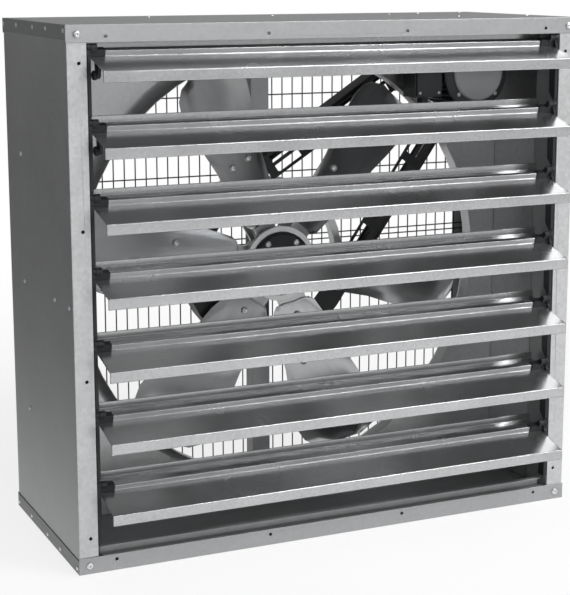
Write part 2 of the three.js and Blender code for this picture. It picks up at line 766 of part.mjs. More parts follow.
// The outline round both pulleys, seen from the front: two arcs and the straight runs between
const drive = new THREE.Vector2(motorX, motorZ - axisZ);
function wrap(bigRadius, smallRadius, bigSteps, smallSteps) {
  const heading = drive.angle();
  const spread = Math.acos((bigRadius - smallRadius) / drive.length());
  const arc = (centre, radius, from, to, steps) =>
    Array.from({ length: steps + 1 }, (_, i) => {
      const t = from + ((to - from) * i) / steps;
      const out = new THREE.Vector2(Math.cos(t), Math.sin(t));
      return { at: centre.clone().addScaledVector(out, radius), out };
    });
  return [
    ...arc(new THREE.Vector2(), bigRadius, heading + spread, heading - spread + 2 * Math.PI, bigSteps),
    ...arc(drive, smallRadius, heading - spread, heading + spread, smallSteps),
  ];
}
const wrapShape = (...sizes) => new THREE.Shape(wrap(...sizes).map(({ at }) => at));

function driveBelt() {
  const [bigSteps, smallSteps] = [PULLEY_SIDES / 2, SMALL_SIDES];
  const rings = wrap(DRIVEN_RADIUS, MOTOR_PULLEY_RADIUS, bigSteps, smallSteps).map(({ at, out }) => {
    const corner = (rise, y) => {
      const p = at.clone().addScaledVector(out, rise);
      return new THREE.Vector3(p.x, beltY + y, p.y);
    };
    const below = BELT_PROUD - BELT_HEIGHT;
    return [
      corner(BELT_PROUD, -BELT_TOP / 2),
      corner(BELT_PROUD, BELT_TOP / 2),
      corner(below, BELT_BASE / 2),
      corner(below, -BELT_BASE / 2),
    ];
  });
  return skin(rings, true);
}
addMesh(atAxis, "drive_belt", driveBelt(), beltRubber);

// Belt guard: a moulded tray round both pulleys, open in the middle, its two arms slotted
function beltGuard() {
  const [bigSteps, smallSteps] = [PULLEY_SIDES / 2, SMALL_SIDES];
  const big = DRIVEN_RADIUS + GUARD_MARGIN;
  const small = MOTOR_PULLEY_RADIUS + GUARD_MARGIN;
  const plateY = [guardY, guardY + GUARD_SHEET];
  const skirtY = [guardY, guardY + GUARD_SKIRT];
  const outline = wrapShape(big, small, bigSteps, smallSteps);
  const window = wrap(GUARD_BORE, GUARD_NOSE_BORE, bigSteps, smallSteps);
  const plate = alongY(outline, plateY);
  const hollow = wrapShape(big - GUARD_SHEET, small - GUARD_SHEET, bigSteps, smallSteps);
  const skirt = cut(
    alongY(outline, skirtY),
    alongY(hollow, [skirtY[0] - OVERRUN, skirtY[1] + OVERRUN]),
  );
  const opening = alongY(new THREE.Shape(window.map(({ at }) => at)), [
    plateY[0] - OVERRUN,
    plateY[1] + OVERRUN,
  ]);
  // Slots lie between an arm's inner and outer edges, in two rows
  const outer = wrap(big, small, bigSteps, smallSteps);
  const slots = [0, 1].flatMap((arm) => {
    const ends = (loop) =>
      arm ? [loop[0].at, loop[loop.length - 1].at] : [loop[bigSteps].at, loop[bigSteps + 1].at];
    const [innerFrom, innerTo] = ends(window);
    const [outerFrom, outerTo] = ends(outer);
    const place = (along, across) =>
      innerFrom.clone().lerp(innerTo, along).lerp(outerFrom.clone().lerp(outerTo, along), across);
    const step = (SLOT_END_SHARE - SLOT_START_SHARE) / SLOT_COUNT;
    return Array.from({ length: SLOT_COUNT }, (_, i) => SLOT_START_SHARE + step * i).flatMap((from) => {
      const to = from + step * (1 - SLOT_GAP_SHARE);
      const [a, b, c, d] = SLOT_ROW_SHARES;
      return [
        [a, b],
        [c, d],
      ].map(([low, high]) =>
        alongY(
          new THREE.Shape([place(from, low), place(to, low), place(to, high), place(from, high)]),
          [plateY[0] - OVERRUN, plateY[1] + OVERRUN],
        ),
      );
    });
  });
  // Two lugs carry the skirt back to the post, and one at the motor's end forward to the panel
  const half = GUARD_LUG / 2;
  const lugY = [guardY, postFrontY - FIT];
  const lugs = cut(alongY(outline, lugY), alongY(hollow, [lugY[0] - OVERRUN, lugY[1] + OVERRUN]));
  const nearPost = block([-half, half], lugY, [-2 * big, 2 * big]);
  const reach = drive.length() + small - GUARD_SHEET / 2;
  const footY = panelY + SHEET + FIT;
  const stay = join(
    block([reach - GUARD_SHEET, reach], [footY, guardY + GUARD_SHEET], [-half, half]),
    block([reach - GUARD_SHEET, reach + GUARD_FOOT], [footY, footY + GUARD_SHEET], [-half, half]),
  );
  const towardMotor = new THREE.Matrix4().makeRotationY(-drive.angle());
  return join(
    cut(join(plate, skirt), opening, slots),
    lugs.intersect(nearPost),
    stay.transform(towardMotor.elements),
  );
}
addMesh(atAxis, "belt_guard", beltGuard(), blackPlastic);

// Motor
function motorBody() {
  const step = (2 * Math.PI) / MOTOR_FINS;
  const polar = (radius, angle) => [radius * Math.cos(angle), radius * Math.sin(angle)];
  const finned = Array.from({ length: MOTOR_FINS }, (_, i) => {
    const middle = i * step;
    const root = (step * FIN_ROOT_SHARE) / 2;
    const tip = (step * FIN_TIP_SHARE) / 2;
    return [
      polar(MOTOR_CORE_RADIUS, middle - root),
      polar(MOTOR_FIN_RADIUS, middle - tip),
      polar(MOTOR_FIN_RADIUS, middle + tip),
      polar(MOTOR_CORE_RADIUS, middle + root),
    ];
  }).flat();
  const body = alongY(shapeOf(finned), [motorBodyFrontY, motorBodyRearY]);
  const footFrontY = motorBodyFrontY + MOTOR_FOOT_INSET;
  const foot = (x) =>
    block(
      [x - MOTOR_FOOT / 2, x + MOTOR_FOOT / 2],
      [footFrontY, footFrontY + MOTOR_FOOT_LENGTH],
      [FIT - BRACKET_DROP, -MOTOR_CORE_RADIUS / 2],
    );
  const padY = motorBodyFrontY + TERMINAL_INSET;
  const pad = block(
    [-MOTOR_FIN_RADIUS - OVERRUN, -MOTOR_CORE_RADIUS / 2],
    [padY + (TERMINAL_DEPTH - TERMINAL_PAD) / 2, padY + (TERMINAL_DEPTH + TERMINAL_PAD) / 2],
    [-TERMINAL_DROP - TERMINAL_PAD / 2, -TERMINAL_DROP + TERMINAL_PAD / 2],
  );
  return join(body, foot(MOTOR_FOOT_SPREAD), foot(-MOTOR_FOOT_SPREAD), pad);
}
addMesh(atMotor, "motor_body", motorBody(), motorPaint);

const frontShield = turned([
  [0, motorBodyFrontY - FIT],
  [MOTOR_FIN_RADIUS, motorBodyFrontY - FIT],
  [MOTOR_FIN_RADIUS, shieldFrontY + FRONT_SHIELD / 2],
  [MOTOR_CORE_RADIUS, shieldFrontY],
  [0, shieldFrontY],
]);
addMesh(atMotor, "motor_front_shield", frontShield, motorPaint);

const frontCover = turned([
  [0, shieldFrontY - FIT],
  [FRONT_COVER_RADIUS, shieldFrontY - FIT],
  [FRONT_COVER_RADIUS, shieldFrontY - FRONT_COVER / 2],
  [FRONT_COVER_RADIUS - FRONT_COVER / 2, shieldFrontY - FRONT_COVER],
  [0, shieldFrontY - FRONT_COVER],
]);
addMesh(atMotor, "motor_front_cover", frontCover, motorGrey);

const rearShield = turned([
  [MOTOR_SHAFT_RADIUS + FIT, motorBodyRearY + FIT],
  [MOTOR_FIN_RADIUS, motorBodyRearY + FIT],
  [MOTOR_FIN_RADIUS, motorBodyRearY + REAR_SHIELD / 3],
  [REAR_BOSS_RADIUS, motorRearY],
  [MOTOR_SHAFT_RADIUS + FIT, motorRearY],
]);
addMesh(atMotor, "motor_rear_shield", rearShield, motorPaint);

const motorShaft = rodY(
  MOTOR_SHAFT_RADIUS,
  [0, 0],
  [motorBodyRearY + FIT, beltY + PULLEY_WIDTH / 2 + FIT],
  TURNED_SIDES,
);
addMesh(atMotor, "motor_shaft", motorShaft, turnedSteel);

// Terminal box on the motor's left, with its lid and the gland under it
function terminalBox() {
  const right = -MOTOR_FIN_RADIUS - OVERRUN - FIT;
  const left = right - TERMINAL_WIDTH;
  const y = motorBodyFrontY + TERMINAL_INSET;
  const top = TERMINAL_HEIGHT / 2 - TERMINAL_DROP;
  return { span: [left, right], depth: [y, y + TERMINAL_DEPTH], height: [top - TERMINAL_HEIGHT, top] };
}
const terminal = terminalBox();
addMesh(atMotor, "terminal_box", block(terminal.span, terminal.depth, terminal.height), motorPaint);

const [terminalFrontY] = terminal.depth;
const lidInset = TERMINAL_LID / 2;
const lid = alongY(
  shapeOf([
    [terminal.span[0] + lidInset, terminal.height[0] + lidInset],
    [terminal.span[1] - lidInset, terminal.height[0] + lidInset],
    [terminal.span[1] - lidInset, terminal.height[1] - lidInset],
    [terminal.span[0] + lidInset, terminal.height[1] - lidInset],
  ]),
  [terminalFrontY - TERMINAL_LID, terminalFrontY - FIT],
);
addMesh(atMotor, "terminal_lid", lid, motorPaint);

function cableGland() {
  const x = (terminal.span[0] + terminal.span[1]) / 2;
  const y = (terminal.depth[0] + terminal.depth[1]) / 2;
  const top = terminal.height[0] - FIT;
  const nut = alongZ(disc(GLAND_RADIUS, 6, [x, y]), [top - GLAND_LENGTH / 2, top]);
  const nose = alongZ(disc((GLAND_RADIUS + GLAND_BORE) / 2, SMALL_SIDES, [x, y]), [
    top - GLAND_LENGTH,
    top - GLAND_LENGTH / 2 + OVERLAP,
  ]);
  const bore = alongZ(disc(GLAND_BORE, SMALL_SIDES, [x, y]), [
    top - GLAND_LENGTH - OVERRUN,
    top - GLAND_LENGTH / 3,
  ]);
  return cut(join(nut, nose), bore);
}
addMesh(atMotor, "cable_gland", cableGland(), blackPlastic);

// Motor bracket: a shelf on the inlet panel's front, cut back where it passes the ring
function motorBracket() {
  const rearY = panelY - FIT;
  const trayFrontY = motorBodyFrontY;
  const shelf = [-BRACKET_DROP - BRACKET_SHEET, -BRACKET_DROP];
  const low = -BRACKET_DROP - BRACKET_APRON;
  const fold = [shelf[0] - BRACKET_APRON / 3, shelf[1]];
  const tray = [-BRACKET_TRAY_LEFT, BRACKET_RIGHT];
  return join(
    block(tray, [trayFrontY, trayFrontY + BRACKET_TRAY], shelf),
    block(tray, [trayFrontY, trayFrontY + BRACKET_SHEET], fold),
    block([-BRACKET_LEFT, BRACKET_RIGHT], [trayFrontY, rearY], shelf),
    block([-BRACKET_LEFT, BRACKET_RIGHT], [rearY - BRACKET_SHEET, rearY], [low, shelf[1]]),
    [-BRACKET_LEFT, BRACKET_RIGHT - BRACKET_SHEET].map((x) =>
      alongX(
        shapeOf([
          [trayFrontY + BRACKET_TRAY, shelf[0] + OVERLAP],
          [rearY, low],
          [rearY, shelf[0] + OVERLAP],
        ]),
        [x, x + BRACKET_SHEET],
      ),
    ),
  );
}
addMesh(atMotor, "motor_bracket", motorBracket(), casingSteel);

// Louvres. A place on the open plate: forward of the pivot along the plate, and above it
const slope = radians(LOUVRE_SLOPE);
function onPlate(forward, above) {
  return [
    -forward * Math.cos(slope) - above * Math.sin(slope),
    -forward * Math.sin(slope) + above * Math.cos(slope),
  ];
}
const plateTop = -RIB / 2;
const plateMiddle = plateTop - LOUVRE_SHEET / 2;

function louvre() {
  const front = onPlate(louvreFront, plateMiddle);
  const rear = onPlate(-LOUVRE_REAR, plateMiddle);
  const lip = [front[0], front[1] - LOUVRE_LIP];
  const upstand = [rear[0], rear[1] + LOUVRE_UPSTAND];
  const plate = alongX(folded([lip, front, rear, upstand], LOUVRE_SHEET), [-louvreHalf, louvreHalf]);
  const half = (RIB - LOUVRE_SHEET) / 2;
  const rib = alongX(
    folded(
      [
        onPlate(half, plateTop - OVERLAP),
        onPlate(half, half),
        onPlate(-half, half),
        onPlate(-half, plateTop - OVERLAP),
      ],
      LOUVRE_SHEET,
    ),
    [RIB_NOTCH - louvreHalf, louvreHalf - RIB_NOTCH],
  );
  return join(plate, rib);
}

// End piece of a louvre: a block in the rib's notch, a peg into the rib, a journal that runs in the
// bearing strip and a crank that rises forward to its pin in the link bar. It is drawn for the
// right end.
const crankPin = [
  -CRANK_RADIUS * Math.sin(radians(CRANK_ANGLE)),
  CRANK_RADIUS * Math.cos(radians(CRANK_ANGLE)),
];
function crankEnd() {
  const rectangle = (low, high, width) =>
    shapeOf([onPlate(-width, low), onPlate(width, low), onPlate(width, high), onPlate(-width, high)]);
  const cavity = RIB / 2 - LOUVRE_SHEET - FIT;
  const blockStart = louvreHalf - RIB_NOTCH + FIT;
  const blockEnd = louvreHalf - OVERLAP;
  const across = Math.atan2(crankPin[1], crankPin[0]);
  const steps = SMALL_SIDES / 2;
  const arc = (centre, radius, from) =>
    Array.from({ length: steps + 1 }, (_, i) => {
      const t = from + (Math.PI * i) / steps;
      return [centre[0] + radius * Math.cos(t), centre[1] + radius * Math.sin(t)];
    });
  const arm = shapeOf([
    ...arc([0, 0], CRANK_ROOT, across + Math.PI / 2),
    ...arc(crankPin, CRANK_TIP, across - Math.PI / 2),
  ]);
  return join(
    alongX(rectangle(plateTop + FIT, END_BLOCK / 2, END_BLOCK / 2), [blockStart, blockEnd]),
    alongX(rectangle(plateTop + FIT, cavity, cavity), [blockStart - PEG_LENGTH, blockStart + OVERRUN]),
    alongX(arm, [louvreHalf - CRANK_THICKNESS, louvreHalf]),
    rodX(JOURNAL_RADIUS, [louvreHalf - OVERRUN, stripOuter + OVERRUN], [0, 0]),
    rodX(CRANK_PIN_RADIUS, [louvreHalf - OVERRUN, linkOuter + CRANK_SIDE_GAP], crankPin),
  );
}

const mirrored = (solid) => solid.transform(new THREE.Matrix4().makeScale(-1, 1, 1).elements);
const louvreSolid = louvre();
const rightCrank = crankEnd();
const leftCrank = mirrored(rightCrank);
const pivotHeights = Array.from(
  { length: LOUVRE_COUNT },
  (_, i) => FIRST_PIVOT_HEIGHT + louvrePitch * i,
);
pivotHeights.forEach((height, i) => {
  const pivot = groupAt(0, pivotY, height);
  addMesh(pivot, `louvre_${i + 1}`, louvreSolid, louvreSteel);
  addMesh(pivot, `left_crank_${i + 1}`, leftCrank, blackPlastic);
  addMesh(pivot, `right_crank_${i + 1}`, rightCrank, blackPlastic);
});

// Link bars: each is one upright moulding with an eye on every crank pin, necked beside the eyes
// to pass the journals
function linkBar() {
  const span = [linkInner, linkOuter];
  const y = pivotY + crankPin[0];
  const pins = pivotHeights.map((height) => height + crankPin[1]);
  const edge = (reach) => {
    const flare = reach - LINK_NECK;
    const points = pins.flatMap((z) => [
      [reach, z - LINK_UNDER - flare],
      [LINK_NECK, z - LINK_UNDER],
      [LINK_NECK, z + LINK_OVER],
      [reach, z + LINK_OVER + flare],
    ]);
    const foot = [reach, EDGE_FLANGE + LINK_TAIL];
    return [foot, ...points.slice(0, -2), [LINK_NECK, pins[pins.length - 1]]];
  };
  const rear = edge(LINK_REAR).map(([away, z]) => [y + away, z]);
  const front = edge(LINK_FRONT).map(([away, z]) => [y - away, z]);
  const bar = alongX(shapeOf([...rear, ...front.reverse()]), span);
  const eyes = pins.map((z) => rodX(LINK_EYE, span, [y, z]));
  const holes = pins.map((z) =>
    rodX(CRANK_PIN_RADIUS + FIT, [linkInner - OVERRUN, linkOuter + OVERRUN], [y, z]),
  );
  return cut(join(bar, eyes), holes);
}
const rightLink = linkBar();
addMesh(fan, "left_link_bar", mirrored(rightLink), blackPlastic);
addMesh(fan, "right_link_bar", rightLink, blackPlastic);

// Bearing strips: folded sheets inside the casing's sides, drilled for the journals
function bearingStrip(side) {
  const web = (stripInner + STRIP_SHEET / 2) * side;
  const wall = (sideInner - FIT - STRIP_SHEET / 2) * side;
  const crossY = frontY + STRIP_REAR - STRIP_SHEET / 2;
  const strip = alongZ(
    folded(
      [
        [web, frontY + STRIP_FRONT],
        [web, crossY],
        [wall, crossY],
        [wall, frontY + STRIP_FOOT_END],
      ],
      STRIP_SHEET,
    ),
    [floorZ, ceilingZ],
  );
  const reach = side * (stripInner - OVERRUN);
  const span = [reach, side * (stripOuter + OVERRUN)].sort((a, b) => a - b);
  return cut(
    strip,
    pivotHeights.map((height) => rodX(JOURNAL_RADIUS + FIT, span, [pivotY, height])),
  );
}
addMesh(fan, "left_bearing_strip", bearingStrip(-1), casingSteel);
addMesh(fan, "right_bearing_strip", bearingStrip(1), casingSteel);

// Sill: a folded sheet behind the lower front flange that the lowest louvre closes against
function sill() {
  const y = frontY + SILL_SETBACK;
  const z = floorZ + SHEET / 2;
  return alongX(
    folded(
      [
        [y + SILL_FOOT, z],
        [y, z],
        [y, SILL_HEIGHT],
        [y - SILL_LIP, SILL_HEIGHT],
      ],
      SHEET,
    ),
    [-louvreHalf, louvreHalf],
  );
}
addMesh(fan, "louvre_sill", sill(), casingSteel);

export default fan;
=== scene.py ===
"""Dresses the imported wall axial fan: sheet finishes, fasteners, inlet mesh and stage."""

import json
import math

import bmesh
import bpy
from bpy.props import FloatProperty, FloatVectorProperty, PointerProperty
from mathutils import Matrix, Vector


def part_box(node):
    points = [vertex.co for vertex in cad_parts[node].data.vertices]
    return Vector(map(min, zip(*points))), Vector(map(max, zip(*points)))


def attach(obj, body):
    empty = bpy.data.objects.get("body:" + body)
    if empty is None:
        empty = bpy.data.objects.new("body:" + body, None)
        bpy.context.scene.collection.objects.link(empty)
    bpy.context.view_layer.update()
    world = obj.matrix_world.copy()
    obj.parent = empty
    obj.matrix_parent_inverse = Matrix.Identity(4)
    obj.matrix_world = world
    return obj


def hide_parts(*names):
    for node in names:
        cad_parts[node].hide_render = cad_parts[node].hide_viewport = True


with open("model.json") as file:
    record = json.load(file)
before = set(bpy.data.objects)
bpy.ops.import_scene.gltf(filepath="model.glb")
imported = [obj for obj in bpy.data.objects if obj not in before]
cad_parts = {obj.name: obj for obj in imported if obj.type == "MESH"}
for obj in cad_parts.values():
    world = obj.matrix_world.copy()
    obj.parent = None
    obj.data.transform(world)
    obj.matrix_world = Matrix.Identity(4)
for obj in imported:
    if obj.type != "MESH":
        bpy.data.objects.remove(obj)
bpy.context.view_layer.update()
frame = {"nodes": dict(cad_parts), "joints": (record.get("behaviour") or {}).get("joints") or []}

bl_info = {
    "name": "Wall axial fan",
    "version": (1, 0, 0),
    "blender": (4, 5, 0),
    "location": "3D View > Sidebar > Fan",
    "description": "Dresses a belt-driven wall fan with linked louvres",
    "category": "Object",
}

MM = 0.001
NODES = frame["nodes"]
LOUVRES = [f"louvre_{i}" for i in range(1, 8)]
BLADES = [f"blade_{i}" for i in range(1, 7)]
CRANKS = [f"{side}_crank_{i}" for side in ("left", "right") for i in range(1, 8)]


def middle(node):
    low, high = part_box(node)
    return (Vector(low) + Vector(high)) / 2


FAN_AXIS = middle("driven_pulley")
MOTOR_AXIS = middle("motor_pulley")
PIVOTS = [Vector(j["pos_m"]) for j in frame["joints"] if j["name"].startswith("louvre_")]

# Places of the fasteners, in mm. Depths are measured from the casing's front.

RIVET_DEPTHS = (13, 128, 219, 340, 439)
RIVET_INSET = 11  # from the casing's top or bottom
CORNER_SCREW_INSET = (21, 17)  # from the casing's side, and from its top or bottom
TOP_SCREWS = ((284, 357), (557, 343), (838, 343), (930, 380), (1053, 407), (900, 146), (1067, 143))
TOP_SCREW_SINK = 1.2
SIDE_BOLTS = ((340, 777), (340, 515), (332, 248), (120, 518), (23, 520))  # depth and height
ARM_DEPTH = 21  # from the hub's front to the middle of its arms
BLADE_BOLTS = ((237, 25), (237, -25), (127, 0))  # along an arm and across it
CAP_SCREWS = 5
CAP_SCREW_CIRCLE = 56
FIRST_CAP_SCREW = 0.3  # half turns from the right
SHIELD_SCREWS = 4
SHIELD_SCREW_CIRCLE = 64
FIRST_SHIELD_SCREW = 0.25  # half turns from the right
LID_SCREW_INSET = 7
LID_SCREW_SCALE = 0.7

# Inlet mesh

WIRE_SIDES = 8
WELD_BITE = 0.1  # how far an upright wire bites into a level one, in half wires
LAP_STEP = 13  # mm between the level wires where two lengths of mesh lap

# Louvre stop, in mm: a knob's radius and height, and its plate's outline behind and above the pivot

STOP_KNOB = (
    (0, 0),
    (7.5, 0),
    (9, 0.8),
    (9, 3),
    (8.2, 3.5),
    (8.2, 4),
    (9, 4.5),
    (9, 6),
    (7.5, 7.5),
    (0, 7.5),
)
STOP_KNOB_PLACE = (-20, -40)
STOP_KNOB_SIDES = 24
STOP_PLATE = ((-8, -9.8), (-34, -16.8), (-28, -43), (-20, -47), (-12, -43))
STOP_PLATE_THICKNESS = 6
STOP_INSET = 8  # from the louvre's left end

# Heads of rivets and screws: radius and height, in half widths of the head

RIVET_HEAD = ((1.0, 0.0), (0.97, 0.14), (0.84, 0.3), (0.6, 0.4), (0.32, 0.42), (0.2, 0.3))
RIVET_SIDES = 14
PAN_HEAD = (
    (0.98, 0.0),
    (1.0, 0.12),
    (0.94, 0.4),
    (0.74, 0.6),
    (0.42, 0.66),
    (0.34, 0.62),
    (0.3, 0.2),
    (0.0, 0.18),
)
PAN_HEAD_SIDES = 18

# Rounding of small pieces, in mm

WELD_DISTANCE = 0.01
TURNED_EDGE = 0.4
BELT_EDGE = 0.5
GLAND_EDGE = 0.5
CRANK_EDGE = 0.3  # more would make a crank pin touch its eye when the louvres shut

# Stage, in metres

CAMERA_PLACE = (-1.3665, -3.0108, 1.1449)
CAMERA_DOWN = 10.51
CAMERA_TURN = -24.69
CAMERA_SHIFT = (-0.0245, -0.06)
LAMP_AIM = (0, 0, 0.5)
LAMPS = (  # name, place, width, power in watts
    ("key lamp", (0.0, -4.6, 1.1), 2.4, 205),
    ("edge lamp", (2.2, -2.8, 3.8), 1.8, 160),
    ("rear lamp", (-1.0, 4.2, 1.4), 2.4, 90),
)
REFLECTED_LAMP = "edge lamp"
WORLD_LIGHT = 0.5
WORLD_REFLECTED = 0.9
WORLD_SHADES = (  # direction, where along it the shade starts and is full, and what is left there
    ((-0.8, 0.5, 0.3), 0.25, 0.65, 0.36),
    ((1.0, 0.0, 0.0), 0.6, 0.9, 0.35),
    ((0.0, 0.0, 1.0), 0.15, 0.55, 0.42),
)
FLOOR_SIZE = 30
FLOOR_SHADES = (  # axis, where the shade is full and where it ends, and how much it takes
    ("X", -1.15, -0.5, 0.85),
    ("Y", -9.0, -1.5, 0.42),
)
PAPER_WHITE = 0.9
PLAIN_START = 1.2  # from here on the sweep's shadow fades
PLAIN_END = 3.5
GLOW_NEAR = 0.8  # share of plain white round the fan


# Settings


def size(name, description, default_mm):
    return FloatProperty(
        name=name, description=description, default=default_mm * MM, unit="LENGTH", precision=4
    )


def angle(name, description, degrees):
    return FloatProperty(
        name=name, description=description, default=math.radians(degrees), subtype="ANGLE"
    )


def linear(code):
    """An sRGB hex colour as linear numbers."""
    parts = [int(code[i : i + 2], 16) / 255 for i in (1, 3, 5)]
    return tuple(c / 12.92 if c <= 0.04045 else ((c + 0.055) / 1.055) ** 2.4 for c in parts)


def colour(name, description, code):
    return FloatVectorProperty(
        name=name,
        description=description,
        default=linear(code),
        subtype="COLOR",
        size=3,
        min=0,
        max=1,
    )


class FanColours(bpy.types.PropertyGroup):
    # Casing and side pans are one galvanised zinc. Their two tints are painted light: the side
    # pans' lighter tint paints their brightly lit front flanges, and the casing's darker tint
    # paints the dimmer top.
    casing: colour("Casing sheet", "Zinc of the top, bottom and front rails", "#969798")
    side: colour("Side sheet", "Zinc of the two side pans", "#bcbdbe")
    ring: colour("Ring sheet", "Zinc of the panel with the spun ring", "#c8c9ca")
    louvre: colour("Louvre sheet", "Zinc of the louvres", "#bcbdbe")
    blade: colour("Blade sheet", "Bright rolled steel of the blades", "#b4b5b6")
    wire: colour("Mesh wire", "Dull zinc of the inlet mesh", "#58595a")
    cast: colour("Cast metal", "Cast aluminium of the hub and pulleys", "#c4c5c6")
    motor: colour("Motor paint", "Enamel of the motor's castings", "#26272a")
    cover: colour("Motor cover", "Grey enamel of the smooth front cover", "#717273")
    plastic: colour("Black plastic", "Glass-filled nylon of end pieces, cap and guard", "#1e1f21")
    rubber: colour("Belt rubber", "Vee belt", "#17181a")
    bolt: colour("Fasteners", "Zinc-plated bolts, screws and rivets", "#e2e3e4")


class FanSizes(bpy.types.PropertyGroup):
    wire: size("Wire", "Thickness of the inlet mesh's wires", 3)
    wire_step: size("Wire step", "From one upright wire to the next", 25)
    row_step: size("Row step", "From one level wire to the next", 168)
    sheet_edge: size("Sheet edge", "Rounding of folded sheet", 0.5)
    louvre_edge: size("Louvre edge", "Rounding of a louvre's folds", 0.9)
    moulded_edge: size("Moulded edge", "Rounding of moulded and cast pieces", 0.9)
    bolt: size("Bolt head", "Diameter of a blade bolt's head", 15)
    rivet: size("Rivet head", "Diameter of a rivet's dome", 9)
    screw: size("Screw head", "Diameter of a pan head", 9)
    corner_screw: size("Corner screw head", "Diameter of the pan heads at the front corners", 14)
    spangle: size("Spangle", "Width of a zinc crystal", 7)


# Materials


def add_node(tree, kind, settings=None, links=None):
    """One shader node with its settings and the sockets that feed it."""
    made = tree.nodes.new(kind)
    for key, value in (settings or {}).items():
        if key == "stops":
            for element, (position, tint) in zip(made.color_ramp.elements, value):
                element.position = position
                element.color = (*tint, 1)
        elif isinstance(key, int) or key in made.inputs:
            made.inputs[key].default_value = value
        else:
            setattr(made, key, value)
    for key, source in (links or {}).items():
        tree.links.new(source, made.inputs[key])
    return made


def new_material(name):
    """An empty node material and the place on the piece that every finish starts from."""
    material = bpy.data.materials.new(name)
    material.use_nodes = True
    tree = material.node_tree
    tree.nodes.clear()
    place = add_node(tree, "ShaderNodeTexCoord").outputs["Object"]
    return material, tree, place


def close_material(tree, settings, links):
    shader = add_node(tree, "ShaderNodeBsdfPrincipled", settings, links)
    add_node(tree, "ShaderNodeOutputMaterial", links={"Surface": shader.outputs["BSDF"]})


def soft_edges(tree, radius):
    """Normals that turn over an edge, so that a fold catches the light along its whole length."""
    return add_node(tree, "ShaderNodeBevel", {"samples": 10, "Radius": radius}).outputs["Normal"]


def shade(tint, factor):
    return tuple(min(c * factor, 1) for c in tint)


def galvanised_sheet(name, tint, contrast, roughness, metallic):
    """Hot-dip galvanised steel: flat zinc crystals, each a little lighter or darker and shinier
    or duller than the next, under a faint cloudy bloom from handling."""
    material, tree, place = new_material(name)
    crystals = add_node(
        tree,
        "ShaderNodeTexVoronoi",
        {"Scale": 1 / bpy.context.scene.fan_sizes.spangle},
        {"Vector": place},
    )
    grey = add_node(tree, "ShaderNodeRGBToBW", links={"Color": crystals.outputs["Color"]})
    bloom = add_node(
        tree, "ShaderNodeTexNoise", {"Scale": 1 / (180 * MM), "Detail": 3.0}, {"Vector": place}
    )
    blend = add_node(
        tree,
        "ShaderNodeMix",
        {"data_type": "FLOAT", 0: 0.45},
        {2: grey.outputs["Val"], 3: bloom.outputs["Fac"]},
    )
    tone = add_node(
        tree,
        "ShaderNodeValToRGB",
        {"stops": [(0.25, shade(tint, 1 - contrast)), (0.75, shade(tint, 1 + contrast))]},
        {"Fac": blend.outputs[0]},
    )
    dull = add_node(
        tree,
        "ShaderNodeMapRange",
        {"To Min": roughness - 0.07, "To Max": roughness + 0.09},
        {"Value": grey.outputs["Val"]},
    )
    ripple = add_node(
        tree, "ShaderNodeTexNoise", {"Scale": 1 / (60 * MM), "Detail": 2.0}, {"Vector": place}
    )
    bump = add_node(
        tree,
        "ShaderNodeBump",
        {"Strength": 0.25, "Distance": 0.6 * MM},
        {"Height": ripple.outputs["Fac"], "Normal": soft_edges(tree, 2.5 * MM)},
    )
    close_material(
        tree,
        {"Metallic": metallic, "Specular Tint": (0.55, 0.55, 0.55, 1)},
        {
            "Base Color": tone.outputs["Color"],
            "Roughness": dull.outputs["Result"],
            "Normal": bump.outputs["Normal"],
        },
    )
    return material


def rolled_sheet(name, tint, grain_mm, contrast, roughness, metallic):
    """Smooth rolled sheet: a fine grain, drawn out where its steps differ, and broad soft patches
    of handling."""
    material, tree, place = new_material(name)
    scale = tuple(1 / (step * MM) for step in grain_mm)
    along = add_node(tree, "ShaderNodeMapping", {"Scale": scale}, {"Vector": place})
    lines = add_node(
        tree,
        "ShaderNodeTexNoise",
        {"Scale": 1.0, "Detail": 3.0},
        {"Vector": along.outputs["Vector"]},
    )
    patches = add_node(
        tree, "ShaderNodeTexNoise", {"Scale": 1 / (140 * MM), "Detail": 2.0}, {"Vector": place}
    )
    blend = add_node(
        tree,
        "ShaderNodeMix",
        {"data_type": "FLOAT", 0: 0.5},
        {2: lines.outputs["Fac"], 3: patches.outputs["Fac"]},
    )
    tone = add_node(
        tree,
        "ShaderNodeValToRGB",
        {"stops": [(0.3, shade(tint, 1 - contrast)), (0.7, shade(tint, 1 + contrast))]},
        {"Fac": blend.outputs[0]},
    )
    dull = add_node(
        tree,
        "ShaderNodeMapRange",
        {"To Min": roughness - 0.04, "To Max": roughness + 0.06},
        {"Value": patches.outputs["Fac"]},
    )
    close_material(
        tree,
        {"Metallic": metallic},
        {
            "Base Color": tone.outputs["Color"],
            "Roughness": dull.outputs["Result"],
            "Normal": soft_edges(tree, 2 * MM),
        },
    )
    return material


